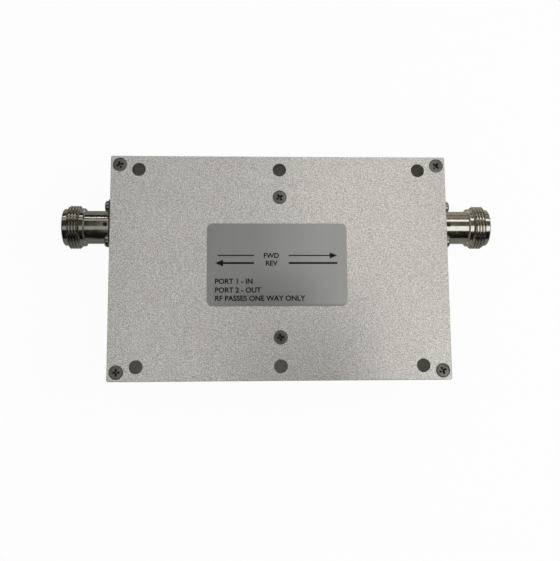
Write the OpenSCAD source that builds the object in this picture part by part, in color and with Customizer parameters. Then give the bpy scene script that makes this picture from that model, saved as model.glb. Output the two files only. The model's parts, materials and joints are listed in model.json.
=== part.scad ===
// Dual-stage RF isolator: two ferrite circulator junctions in one milled case, with a jack at each end.
// Units are millimetres. The origin is the middle of the base, +Z is up, and the signal runs along +X.

/* [Case] */
// Length of the case between its two jack faces
case_l = 120; // [116:1:150]
// Width of the case
case_w = 80; // [78:1:110]
// Height of the case with its lid
case_h = 30; // [29:0.5:40]
// Thickness of the lid
lid_t = 3; // [2.5:0.25:5]
// Radius of the case's upright corners
corner_r = 0.6; // [0.6:0.1:3]
// Chamfer round the lid's top edge and the housing's base edge
edge_chamfer = 0.2; // [0.2:0.1:0.5]
// Thickness of the end wall behind each jack
end_wall_t = 4; // [3:0.25:6]

/* [Mounting holes] */
// Diameter of the six holes that pass right through the case
mount_hole_d = 4.8; // [3.4:0.1:5.5]
// Distance of the outer mounting holes from the case's end faces
mount_end = 10; // [8:0.5:13]
// Distance of the two rows of mounting holes from the case's long sides
mount_edge = 5; // [4.5:0.1:7]

/* [Cover screws] */
// Thread diameter of the countersunk cover screws
cover_screw_d = 2.5; // [2:0.5:3]
// Head diameter of the cover screws
cover_head_d = 4.7; // [4:0.1:5.2]
// Length of the cover screws, head included
cover_screw_l = 10; // [8:1:14]
// Distance of the corner screws from both edges of the lid
cover_screw_inset = 3.2; // [3.1:0.1:4]
// Distance between the two cover screws on the middle line
cover_screw_pitch = 50; // [48:1:56]

/* [Label] */
// Length of the rating label
label_l = 49.5; // [30:0.5:80]
// Width of the rating label
label_w = 29.5; // [15:0.5:40]
// Thickness of the rating label
label_t = 0.15; // [0.1:0.05:0.5]
// Radius of the label's corners
label_r = 2; // [0.5:0.25:4]
// Distance of the label's centre from the lid's centre, towards the input jack
label_shift_x = 1; // [0:0.5:6]
// Distance of the label's centre from the lid's centre, towards the jacks' side
label_shift_y = 0.7; // [0:0.1:4]

/* [Jacks] */
// Distance of the jacks from the case's long centre line
jack_offset = 17; // [15:0.5:18.5]
// How far each jack stands out of the case
jack_reach = 18.9; // [18:0.1:22]
// Side of the square flange
flange_size = 17.5; // [17:0.1:18]
// Thickness of the flange
flange_t = 1.6; // [1.2:0.1:2.5]
// Radius of the flange's corners
flange_r = 0.8; // [0.3:0.1:1.5]
// Distance between the flange screws, both ways
flange_screw_pitch = 12.7; // [12.4:0.1:13]
// Diameter of the barrel between the flange and the thread
barrel_d = 12.2; // [11:0.1:13]
// Major diameter of the coupling thread
thread_d = 15.875; // [15:0.005:17]
// Length of the thread at its full diameter
thread_l = 3.7; // [3:0.1:5]
// Length of the chamfers at the thread's two ends
thread_lead = 0.5; // [0.3:0.1:1]
// Diameter of the plain lip in front of the thread
lip_d = 13.6; // [12.5:0.1:14.5]
// Length of the plain lip
lip_l = 1.7; // [0.8:0.1:2]
// Diameter of the plain ring behind the thread
ring_d = 14.1; // [13:0.1:14.8]
// Length of the plain ring
ring_l = 1.4; // [0.5:0.1:2]
// Length of the cone between the barrel and the ring
ring_lead = 0.3; // [0.2:0.1:1]
// Diameter of the epoxy hole in the barrel
stake_d = 1.6; // [1:0.1:2]
// Distance of the epoxy hole from the flange's face
stake_offset = 1.6; // [1:0.1:3]
// How far the epoxy lies below the barrel's surface
stake_recess = 0.1; // [0.1:0.1:1]
// Diameter of the mouth that takes the plug
mouth_d = 8.6; // [8.2:0.1:9.5]
// Depth of the mouth down to the mating shoulder
mouth_depth = 9.2; // [8.5:0.1:10]

/* [Jack insides] */
// Diameter of the insulating bead
bead_d = 7; // [6:0.1:7.8]
// How far the bead's face lies behind the mating shoulder
bead_recess = 0.5; // [0.2:0.1:1]
// Diameter of the bead's collar in the end wall
collar_d = 4.1; // [3.5:0.1:5]
// Outer diameter of the socket contact
contact_d = 3.04; // [2.6:0.02:3.4]
// Diameter of the contact's socket
socket_d = 1.7; // [1.5:0.05:1.9]
// Depth of the contact's socket
socket_depth = 5; // [4:0.25:7]
// How far the contact's tip lies inside the mouth
contact_recess = 4.2; // [4.1:0.1:5]
// Width of the slots that split the socket
socket_slot = 0.3; // [0.2:0.05:0.5]
// Diameter of the contact's solder tail
tail_d = 1.3; // [1:0.05:1.6]
// Length of the solder tail inside the case
tail_l = 5; // [3:0.25:6]

/* [Flange screws] */
// Thread diameter of the flange screws
flange_screw_d = 2.5; // [2:0.5:2.5]
// Head diameter of the flange screws
flange_head_d = 4.4; // [4:0.1:4.7]
// Head height of the flange screws
flange_head_h = 1.6; // [1.4:0.1:2]
// Length of the flange screws under the head
flange_screw_l = 6.5; // [5:0.5:8]

/* [Junctions] */
// Distance between the two circulator junctions
junction_pitch = 58; // [56:1:62]
// Diameter of the round well that holds each junction
well_d = 42; // [40:0.5:44]
// Diameter of the ferrite discs
ferrite_d = 32; // [28:0.5:33]
// Thickness of the ferrite discs
ferrite_t = 3.75; // [3:0.25:4.25]
// Diameter of the bias magnets
magnet_d = 34; // [28:0.5:38]
// Thickness of the bias magnets
magnet_t = 5; // [4:0.25:5.25]
// Thickness of the ground plates
ground_t = 1; // [0.5:0.1:1.25]
// Thickness of the steel pole plates
pole_t = 2; // [1.5:0.1:2.25]

/* [Strip line] */
// Thickness of the centre conductor
strip_t = 0.5; // [0.3:0.1:1]
// Width of the conductor's three arms
strip_w = 4; // [3:0.25:5]
// Diameter of the conductor's hub
hub_d = 16; // [12:0.5:20]
// Length of the three tuning stubs, from the hub's centre
stub_l = 13; // [11:0.5:15]
// Width of the tuning stubs
stub_w = 5; // [3:0.25:6]
// Width of the milled channels that the arms run in
channel_w = 8; // [6.5:0.25:8.5]
// Gap between the two conductors on the case's middle line
link_gap = 2; // [1:0.25:4]
// Length of the strip that joins the two conductors
link_l = 9; // [7:0.5:12]
// Width of the joining strip
link_w = 3; // [2:0.25:3.5]
// Thickness of the joining strip
link_t = 0.3; // [0.2:0.05:0.5]
// Length of the matching capacitors, along the arm
capacitor_l = 3.2; // [2:0.1:3.6]
// Width of the matching capacitors, across the arm
capacitor_w = 4.6; // [3:0.1:5]

/* [Dump loads] */
// Distance of each load's centre from its junction
load_drop = 33; // [31.5:0.25:36]
// Length of the load's flange
load_l = 24.8; // [23.5:0.1:26]
// Width of the load's flange
load_w = 9.5; // [8.5:0.1:11]
// Thickness of the load's flange
load_flange_t = 1.5; // [1:0.1:2]
// Radius of the load flange's corners
load_r = 0.8; // [0.3:0.1:1.5]
// Distance between the load's two screws
load_screw_pitch = 18.4; // [17.5:0.1:19]
// Side of the ceramic chip on the flange
chip_size = 9.5; // [8:0.1:10]
// Thickness of the ceramic chip
chip_t = 1.5; // [1:0.1:2]
// Height of the cap over the resistor
cap_t = 1.2; // [0.8:0.1:2]
// Thickness of the solder tab
tab_t = 0.2; // [0.1:0.05:0.3]
// Width of the solder tab
tab_w = 2.5; // [1.5:0.1:4]
// Gap between the ceramic chip and the end of the conductor's arm
chip_gap = 1; // [0.5:0.1:2]
// Length of the tab under the conductor's arm
tab_lap = 3; // [2:0.25:4]
// Thread diameter of the load screws
load_screw_d = 3; // [2.5:0.5:3]
// Head diameter of the load screws
load_head_d = 5.5; // [5:0.1:6]
// Head height of the load screws
load_head_h = 2; // [1.6:0.1:2.4]
// Length of the load screws under the head
load_screw_l = 8; // [6:1:9]

/* [Fits] */
// Gap between a screw's shank and its tapped hole, and round every close-fitted piece
close_fit = 0.05; // [0.02:0.01:0.1]
// Gap between the round plates and the wall of their well
plate_fit = 0.2; // [0.1:0.05:0.4]
// Gap between a screw's shank and its clearance hole
screw_clearance = 0.15; // [0.1:0.05:0.25]

/* [Hidden] */
$fn = 64;
// Past the faces of what is cut, so that no skin is left
past = 1;
// Depth of a tapped hole beyond the screw's end
tap_spare = 0.5;
// Angles of the input junction's arms, towards the jack, the other junction and the dump load
jack_angle = 150;
link_angle = 30;
load_angle = 270;
arm_angles = [jack_angle, link_angle, load_angle];
stub_angle = 60;

// Heights, worked down from the lid's underside
lid_z = case_h - lid_t;
half_stack = strip_t / 2 + ferrite_t + ground_t + magnet_t + pole_t;
strip_z = lid_z - half_stack;
well_z = lid_z - 2 * half_stack;
strip_low = strip_z - strip_t / 2;
strip_high = strip_z + strip_t / 2;
channel_z = strip_low - ferrite_t;
load_z = strip_low - tab_t - chip_t - load_flange_t;

// Places of the junctions, their arms and the loads
well_r = well_d / 2;
plate_r = well_r - plate_fit;
arm_inset = 1;
arm_bend_r = well_r - arm_inset;
junction_x = junction_pitch / 2;
junction_y = jack_offset - arm_bend_r * sin(link_angle);
load_y = junction_y - load_drop;
chip_front = load_y + chip_size / 2;
arm_load_end = chip_front + chip_gap;
capacitor_r = (ferrite_d / 2 + plate_r) / 2;
pocket_margin = 1.5;
pocket_r = 2.5;
pocket_front = arm_load_end + tab_lap;

// Stations along a jack, outwards from the case's end face
lip_u = jack_reach - lip_l;
thread_front_u = lip_u - thread_lead;
thread_back_u = thread_front_u - thread_l;
ring_front_u = thread_back_u - thread_lead;
ring_back_u = ring_front_u - ring_l;
barrel_u = ring_back_u - ring_lead;
shoulder_u = jack_reach - mouth_depth;
bead_u = shoulder_u - bead_recess;
contact_u = jack_reach - contact_recess;
contact_seat_u = flange_t;
stake_u = flange_t + stake_offset;
lip_chamfer = 0.4;
mouth_chamfer = 0.3;
tail_step = 0.8;

// Cover screws: their places on the lid, with the turn of each cross
corner_screw_x = case_l / 2 - cover_screw_inset;
corner_screw_y = case_w / 2 - cover_screw_inset;
cover_screws_at = [
    [-corner_screw_x, corner_screw_y, 20], [corner_screw_x, corner_screw_y, 50],
    [-corner_screw_x, -corner_screw_y, 0], [corner_screw_x, -corner_screw_y, 25],
    [0, cover_screw_pitch / 2, 35], [0, -cover_screw_pitch / 2, 10],
];
countersink_spare = 0.15;
mount_x = case_l / 2 - mount_end;
mount_y = case_w / 2 - mount_edge;
mount_holes_at = [for (x = [-1, 0, 1]) for (y = [-1, 1]) [x * mount_x, y * mount_y]];
flange_screws_at = [for (x = [-1, 1]) for (y = [-1, 1]) [x, y] * flange_screw_pitch / 2];
load_screws_at = [for (x = [-1, 1]) [x * load_screw_pitch / 2, 0]];

// The nodes: single pieces, then the pieces that each side has one of
SIDES = ["input", "output"];
SINGLE = ["housing", "lid", "rating_label", "cover_screws", "interstage_link"];
PAIRED = [
    "jack_shell", "jack_bead", "jack_contact", "stake_epoxy", "flange_screws",
    "lower_pole_plate", "lower_magnet", "lower_magnet_ring", "lower_ground_plate", "lower_ferrite",
    "centre_conductor",
    "upper_ferrite", "upper_ground_plate", "upper_magnet", "upper_magnet_ring", "upper_pole_plate",
    "jack_capacitor", "link_capacitor", "load_capacitor",
    "load_flange", "load_chip", "load_cap", "load_tab", "load_screws",
];

// Shared shapes

module rounded_rect(l, w, r) {
    square([l - 2 * r, w], center = true);
    square([l, w - 2 * r], center = true);
    for (x = [-1, 1]) for (y = [-1, 1])
        translate([x * (l / 2 - r), y * (w / 2 - r)]) circle(r);
}

// Outline of a block that reaches as far to either side, with its two lower edges chamfered
module chamfer_outline(reach, h, chamfer) {
    polygon([
        [-reach, chamfer], [-reach + chamfer, 0], [reach - chamfer, 0], [reach, chamfer],
        [reach, h], [-reach, h],
    ]);
}

// A block with round upright corners and a chamfer round its lower face
module chamfered_block(l, w, h, r, chamfer) {
    rotate([90, 0, 0]) linear_extrude(w - 2 * r, center = true) chamfer_outline(l / 2, h, chamfer);
    rotate([90, 0, 90]) linear_extrude(l - 2 * r, center = true) chamfer_outline(w / 2, h, chamfer);
    for (x = [-1, 1]) for (y = [-1, 1])
        translate([x * (l / 2 - r), y * (w / 2 - r), 0]) {
            cylinder(r1 = r - chamfer, r2 = r, h = chamfer);
            translate([0, 0, chamfer]) cylinder(r = r, h = h - chamfer);
        }
}

// A cross recess cut down from z = 0, tapered to its point
module cross_recess(head_d) {
    arm = 0.3 * head_d;
    blade = 0.15 * head_d;
    depth = 0.28 * head_d;
    intersection() {
        translate([0, 0, -depth]) cylinder(r1 = 0.3 * arm, r2 = arm, h = depth);
        union() {
            cube([2 * arm, blade, 2 * depth], center = true);
            cube([blade, 2 * arm, 2 * depth], center = true);
        }
    }
}

// A pan-head screw with the underside of its head at z = 0 and its shank downwards
module pan_screw(d, head_d, head_h, l) {
    crown_r = (head_d * head_d / 4 + head_h * head_h) / head_h;
    difference() {
        union() {
            intersection() {
                cylinder(d = head_d, h = head_h);
                translate([0, 0, head_h - crown_r]) sphere(crown_r, $fn = 128);
            }
            translate([0, 0, -l]) cylinder(d = d, h = l);
        }
        translate([0, 0, head_h]) cross_recess(head_d);
    }
}

// A countersunk screw with its head's face at z = 0 and its shank downwards
module countersunk_screw(d, head_d, l) {
    head_h = (head_d - d) / 2;
    difference() {
        union() {
            translate([0, 0, -head_h]) cylinder(d1 = d, d2 = head_d, h = head_h);
            translate([0, 0, -l]) cylinder(d = d, h = l - head_h);
        }
        cross_recess(head_d);
    }
}

// A round disc in the input side's well, from z up
module junction_disc(d, t, z) {
    translate([-junction_x, junction_y, z]) cylinder(d = d, h = t, $fn = 128);
}

// A ring that fills the well's width round a magnet and keeps it central, from z up
module magnet_ring(z) {
    difference() {
        junction_disc(2 * plate_r, magnet_t, z);
        translate([0, 0, -past]) junction_disc(magnet_d + 2 * close_fit, magnet_t + 2 * past, z);
    }
}

// Frames of reference

// Children are drawn for the input side, and mirrored for the output side
module on_side(side) {
    mirror([side == "output" ? 1 : 0, 0, 0]) children();
}

// The input jack's frame: +Z outwards from the case's end face, +X up
module at_jack() {
    translate([-case_l / 2, jack_offset, strip_z]) rotate([0, -90, 0]) children();
}

// The input load's frame, on the shelf under its flange
module at_load() {
    translate([-junction_x, load_y, load_z]) children();
}

// Case

module housing_cavities() {
    pocket_l = load_l + 2 * pocket_margin;
    pocket_back = load_y - load_w / 2 - pocket_margin;
    channel_end = case_l / 2 - end_wall_t;
    translate([-junction_x, junction_y, well_z]) cylinder(r = well_r, h = case_h, $fn = 128);
    // channel from the end wall to the case's middle, past the well
    translate([-channel_end, jack_offset - channel_w / 2, channel_z])
        cube([channel_end + past, channel_w, case_h]);
    // throat from the well to the load's pocket
    translate([-junction_x - channel_w / 2, pocket_front - past, channel_z])
        cube([channel_w, junction_y - pocket_front + past, case_h]);
    translate([-junction_x, (pocket_back + pocket_front) / 2, load_z])
        linear_extrude(case_h) rounded_rect(pocket_l, pocket_front - pocket_back, pocket_r);
    at_load()
        for (p = load_screws_at)
            translate([p.x, p.y, load_flange_t - load_screw_l - tap_spare])
                cylinder(d = load_screw_d + 2 * close_fit, h = load_screw_l);
    at_jack() {
        translate([0, 0, -end_wall_t - past])
            cylinder(d = collar_d + 2 * close_fit, h = end_wall_t + 2 * past);
        for (p = flange_screws_at)
            translate([p.x, p.y, flange_t - flange_screw_l - tap_spare])
                cylinder(d = flange_screw_d + 2 * close_fit, h = flange_screw_l + past);
    }
}

module mount_holes() {
    for (p = mount_holes_at)
        translate([p.x, p.y, -past]) cylinder(d = mount_hole_d, h = case_h + 2 * past);
}

module housing() {
    color("silver") difference() {
        chamfered_block(case_l, case_w, lid_z, corner_r, edge_chamfer);
        for (side = SIDES) on_side(side) housing_cavities();
        mount_holes();
        for (p = cover_screws_at)
            translate([p.x, p.y, case_h - cover_screw_l - tap_spare])
                cylinder(d = cover_screw_d + 2 * close_fit, h = cover_screw_l);
    }
}

module lid() {
    sink_d = cover_head_d + 2 * countersink_spare + 2 * close_fit;
    hole_d = cover_screw_d + 2 * screw_clearance;
    color("silver") difference() {
        translate([0, 0, case_h]) mirror([0, 0, 1])
            chamfered_block(case_l, case_w, lid_t, corner_r, edge_chamfer);
        mount_holes();
        for (p = cover_screws_at)
            translate([p.x, p.y, 0]) {
                translate([0, 0, lid_z - past]) cylinder(d = hole_d, h = lid_t + 2 * past);
                translate([0, 0, case_h - sink_d / 2]) cylinder(d1 = 0, d2 = sink_d, h = sink_d / 2);
                translate([0, 0, case_h]) cylinder(d = sink_d, h = past);
            }
    }
}

module rating_label() {
    color("dimgray") translate([-label_shift_x, label_shift_y, case_h])
        linear_extrude(label_t) rounded_rect(label_l, label_w, label_r);
}

module cover_screws() {
    color("gray")
        for (p = cover_screws_at)
            translate([p.x, p.y, case_h - countersink_spare]) rotate([0, 0, p.z])
                countersunk_screw(cover_screw_d, cover_head_d, cover_screw_l);
}

// Jacks

module jack_shell() {
    color("lightgray") at_jack() difference() {
        union() {
            linear_extrude(flange_t) rounded_rect(flange_size, flange_size, flange_r);
            rotate_extrude() polygon([
                [0, 0], [barrel_d / 2, 0], [barrel_d / 2, barrel_u], [ring_d / 2, ring_back_u],
                [ring_d / 2, ring_front_u], [thread_d / 2, thread_back_u], [thread_d / 2, thread_front_u],
                [lip_d / 2, lip_u], [lip_d / 2, jack_reach - lip_chamfer],
                [lip_d / 2 - lip_chamfer, jack_reach], [0, jack_reach],
            ]);
        }
        translate([0, 0, -past]) cylinder(d = bead_d, h = jack_reach);
        rotate_extrude() polygon([
            [0, shoulder_u], [mouth_d / 2, shoulder_u], [mouth_d / 2, jack_reach - mouth_chamfer],
            [mouth_d / 2 + mouth_chamfer, jack_reach], [mouth_d / 2 + mouth_chamfer, jack_reach + past],
            [0, jack_reach + past],
        ]);
        for (p = flange_screws_at)
            translate([p.x, p.y, -past])
                cylinder(d = flange_screw_d + 2 * screw_clearance, h = flange_t + 2 * past);
        translate([0, 0, stake_u]) rotate([0, 90, 0]) cylinder(d = stake_d, h = barrel_d);
    }
}

module jack_bead() {
    tail_hole_r = tail_d / 2 + close_fit;
    contact_hole_r = contact_d / 2 + close_fit;
    color("white") at_jack() rotate_extrude() polygon([
        [tail_hole_r, -end_wall_t], [collar_d / 2, -end_wall_t], [collar_d / 2, 0],
        [bead_d / 2 - close_fit, 0], [bead_d / 2 - close_fit, bead_u], [contact_hole_r, bead_u],
        [contact_hole_r, contact_seat_u], [tail_hole_r, contact_seat_u],
    ]);
}

module jack_contact() {
    tip_chamfer = 0.2;
    tail_end_u = -end_wall_t - tail_l;
    socket_end_u = contact_u - socket_depth;
    color("gold") at_jack() difference() {
        rotate_extrude() polygon([
            [0, tail_end_u], [tail_d / 2, tail_end_u], [tail_d / 2, contact_seat_u],
            [contact_d / 2, contact_seat_u], [contact_d / 2, contact_u - tip_chamfer],
            [contact_d / 2 - tip_chamfer, contact_u], [socket_d / 2, contact_u],
            [socket_d / 2, socket_end_u], [0, socket_end_u],
        ]);
        // crossed slots that let the socket spring open
        for (turn = [0, 90])
            rotate([0, 0, turn]) translate([-contact_d, -socket_slot / 2, socket_end_u + tip_chamfer])
                cube([2 * contact_d, socket_slot, socket_depth]);
        // flat on the tail that the conductor's arm lies on
        translate([-strip_t / 2, -tail_d, tail_end_u - past])
            cube([tail_d, 2 * tail_d, tail_l - tail_step + past]);
    }
}

// Epoxy between the shell's hole and the bead, which keeps the bead from turning or slipping out
module stake_epoxy() {
    fill = barrel_d / 2 - stake_recess - bead_d / 2;
    color("#201e1c") at_jack() translate([bead_d / 2, 0, stake_u]) rotate([0, 90, 0])
        cylinder(d = stake_d - 2 * close_fit, h = fill);
}

module flange_screws() {
    color("silver") at_jack()
        for (p = flange_screws_at)
            translate([p.x, p.y, flange_t])
                pan_screw(flange_screw_d, flange_head_d, flange_head_h, flange_screw_l);
}

// Junctions, from the well's floor up to the lid

module lower_pole_plate() {
    color("slategray") junction_disc(2 * plate_r, pole_t, well_z);
}

module lower_magnet() {
    color("#3a3a3c") junction_disc(magnet_d, magnet_t, well_z + pole_t);
}

module lower_magnet_ring() {
    color("linen") magnet_ring(well_z + pole_t);
}

module lower_ground_plate() {
    color("gainsboro") junction_disc(2 * plate_r, ground_t, channel_z - ground_t);
}

module lower_ferrite() {
    color("#4a4440") junction_disc(ferrite_d, ferrite_t, channel_z);
}

module upper_ferrite() {
    color("#4a4440") junction_disc(ferrite_d, ferrite_t, strip_high);
}

module upper_ground_plate() {
    color("gainsboro") junction_disc(2 * plate_r, ground_t, strip_high + ferrite_t);
}

module upper_magnet() {
    color("#3a3a3c") junction_disc(magnet_d, magnet_t, lid_z - pole_t - magnet_t);
}

module upper_magnet_ring() {
    color("linen") magnet_ring(lid_z - pole_t - magnet_t);
}

module upper_pole_plate() {
    color("slategray") junction_disc(2 * plate_r, pole_t, lid_z - pole_t);
}

// The etched sheet between the ferrites: a hub, three stubs and three arms
module centre_conductor() {
    arm_run = arm_bend_r * cos(link_angle);
    jack_end = case_l / 2 - end_wall_t - tail_step;
    color("khaki") translate([0, 0, strip_low]) linear_extrude(strip_t) {
        translate([-junction_x, junction_y]) {
            circle(d = hub_d);
            for (a = arm_angles) rotate(a + stub_angle) translate([0, -stub_w / 2]) square([stub_l, stub_w]);
            for (a = [jack_angle, link_angle]) rotate(a) {
                translate([0, -strip_w / 2]) square([arm_bend_r, strip_w]);
                translate([arm_bend_r, 0]) circle(d = strip_w);
            }
        }
        translate([-junction_x - strip_w / 2, arm_load_end]) square([strip_w, junction_y - arm_load_end]);
        translate([-jack_end, jack_offset - strip_w / 2])
            square([jack_end - junction_x - arm_run, strip_w]);
        translate([-junction_x + arm_run, jack_offset - strip_w / 2])
            square([junction_x - arm_run - link_gap / 2, strip_w]);
    }
}

module interstage_link() {
    color("khaki") translate([-link_l / 2, jack_offset - link_w / 2, strip_high])
        cube([link_l, link_w, link_t]);
}

// A matching capacitor under an arm, standing on the lower ground plate
module port_capacitor(angle) {
    color("tan") translate([-junction_x, junction_y, channel_z]) rotate([0, 0, angle])
        translate([capacitor_r - capacitor_l / 2, -capacitor_w / 2, 0])
            cube([capacitor_l, capacitor_w, ferrite_t]);
}

// Dump loads

module load_flange() {
    color("peru") at_load() difference() {
        linear_extrude(load_flange_t) rounded_rect(load_l, load_w, load_r);
        for (p = load_screws_at)
            translate([p.x, p.y, -past])
                cylinder(d = load_screw_d + 2 * screw_clearance, h = load_flange_t + 2 * past);
    }
}

module load_chip() {
    color("ivory") at_load() translate([-chip_size / 2, -chip_size / 2, load_flange_t])
        cube([chip_size, chip_size, chip_t]);
}

// The cap leaves a ledge of the chip bare for the tab
module load_cap() {
    ledge = 2;
    rim = 0.5;
    color("white") at_load()
        translate([-chip_size / 2 + rim, -chip_size / 2 + rim, load_flange_t + chip_t])
            cube([chip_size - 2 * rim, chip_size - rim - ledge, cap_t]);
}

module load_tab() {
    on_chip = 1.5;
    color("gainsboro") at_load()
        translate([-tab_w / 2, chip_size / 2 - on_chip, load_flange_t + chip_t])
            cube([tab_w, on_chip + chip_gap + tab_lap, tab_t]);
}

module load_screws() {
    color("gray") at_load()
        for (p = load_screws_at)
            translate([p.x, p.y, load_flange_t])
                pan_screw(load_screw_d, load_head_d, load_head_h, load_screw_l);
}

// Drawing

housing();
lid();
rating_label();
cover_screws();
interstage_link();
for (side = SIDES) on_side(side) {
    jack_shell();
    jack_bead();
    jack_contact();
    stake_epoxy();
    flange_screws();
    lower_pole_plate();
    lower_magnet();
    lower_magnet_ring();
    lower_ground_plate();
    lower_ferrite();
    centre_conductor();
    upper_ferrite();
    upper_ground_plate();
    upper_magnet();
    upper_magnet_ring();
    upper_pole_plate();
    port_capacitor(jack_angle);
    port_capacitor(link_angle);
    port_capacitor(load_angle);
    load_flange();
    load_chip();
    load_cap();
    load_tab();
    load_screws();
}
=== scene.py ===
"""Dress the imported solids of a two-stage RF isolator and light them as a product picture.

The solids stay where the frame puts them. New pieces stand for the jack shells, the screws that show
and the label, and every other node gets the finish of its slot. Pieces are modelled in millimetres
and scaled to metres once, when they are finished.
"""

import json
import logging
import math
from abc import ABC, abstractmethod
from dataclasses import dataclass, field
from enum import Enum
from typing import Callable, Iterable, Optional, Sequence, Union

import bmesh
import bpy
from mathutils import Matrix, Vector

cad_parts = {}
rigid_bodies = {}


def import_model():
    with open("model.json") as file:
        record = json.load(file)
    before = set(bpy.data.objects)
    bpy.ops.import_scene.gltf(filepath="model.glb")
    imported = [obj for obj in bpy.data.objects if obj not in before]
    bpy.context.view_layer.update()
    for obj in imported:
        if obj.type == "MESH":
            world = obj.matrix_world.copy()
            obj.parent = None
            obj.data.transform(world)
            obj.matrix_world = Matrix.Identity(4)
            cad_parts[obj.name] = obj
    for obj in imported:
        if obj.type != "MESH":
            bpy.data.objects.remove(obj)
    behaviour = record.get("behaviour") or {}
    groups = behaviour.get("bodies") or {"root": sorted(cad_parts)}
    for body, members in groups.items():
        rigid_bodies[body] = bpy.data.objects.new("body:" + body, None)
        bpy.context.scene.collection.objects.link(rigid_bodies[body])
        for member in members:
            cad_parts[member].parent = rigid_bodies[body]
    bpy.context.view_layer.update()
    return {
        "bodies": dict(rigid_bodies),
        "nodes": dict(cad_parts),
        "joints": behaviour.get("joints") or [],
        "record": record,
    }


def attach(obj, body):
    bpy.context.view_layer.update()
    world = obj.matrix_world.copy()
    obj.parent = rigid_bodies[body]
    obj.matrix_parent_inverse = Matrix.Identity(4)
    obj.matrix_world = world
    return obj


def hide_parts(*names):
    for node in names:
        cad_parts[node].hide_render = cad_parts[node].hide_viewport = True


LOG = logging.getLogger("isolator")
MM = 0.001
BODY = "root"
SMOOTH_ANGLE = math.radians(32)
MERGE_MM = 1e-5
TOLERANCE_MM = 1e-4

# Places that pieces and finishes share, in millimetres from the middle of the base: heights, the jacks'
# axis as y and z, and the mounting holes and cover screws as x and y in one quarter
LID_Z = 30.0
JOINT_Z = 27.0
JACK_AXIS = (17.0, 15.0)
MOUNT_AT = (50.0, 35.0)
COVER_SCREW_AT = (56.8, 36.8)
COVER_SCREW_MIDDLE_Y = 25.0

Pair = tuple[float, float]
Point = tuple[float, float, float]
Colour = tuple[float, float, float]
Number = Union[int, float]

WHITE: Colour = (1.0, 1.0, 1.0)


class Side(Enum):
    """The two ends of the case, with the way that each jack points along X."""

    INPUT = -1
    OUTPUT = 1

    @property
    def label(self) -> str:
        """Give the side's name as the nodes spell it."""
        return self.name.lower()


# Shader expressions


def joined_by(operation: str, reflected: bool = False) -> Callable[["Wire", "Term"], "Wire"]:
    """Make a method of Wire that joins two terms by a Math node.

    Args:
        operation: The Math node's operation.
        reflected: Whether the wire is the term on the right.

    Returns:
        The method.
    """

    def method(wire: "Wire", other: "Term") -> "Wire":
        """Join the wire and the other term."""
        terms = (other, wire) if reflected else (wire, other)
        return wire.graph.maths(operation, *terms)

    return method


class Wire:
    """A shader socket that takes part in Python arithmetic; a test gives 1 where it holds and 0 elsewhere."""

    def __init__(self, graph: "Graph", socket: bpy.types.NodeSocket) -> None:
        """Keep the socket and the graph that its Math nodes go into."""
        self.graph = graph
        self.socket = socket

    __add__ = joined_by("ADD")
    __radd__ = joined_by("ADD", reflected=True)
    __sub__ = joined_by("SUBTRACT")
    __rsub__ = joined_by("SUBTRACT", reflected=True)
    __mul__ = joined_by("MULTIPLY")
    __rmul__ = joined_by("MULTIPLY", reflected=True)
    __truediv__ = joined_by("DIVIDE")
    __rtruediv__ = joined_by("DIVIDE", reflected=True)
    __pow__ = joined_by("POWER")
    __rpow__ = joined_by("POWER", reflected=True)
    __lt__ = joined_by("LESS_THAN")
    __gt__ = joined_by("GREATER_THAN")
    least = joined_by("MINIMUM")
    most = joined_by("MAXIMUM")

    def __abs__(self) -> "Wire":
        """Drop the sign."""
        return self.graph.maths("ABSOLUTE", self)

    def swing(self, reach: float) -> "Wire":
        """Centre values from 0 to 1 on zero, and scale them."""
        return (self - 0.5) * reach


Term = Union[Wire, Number]


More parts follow.
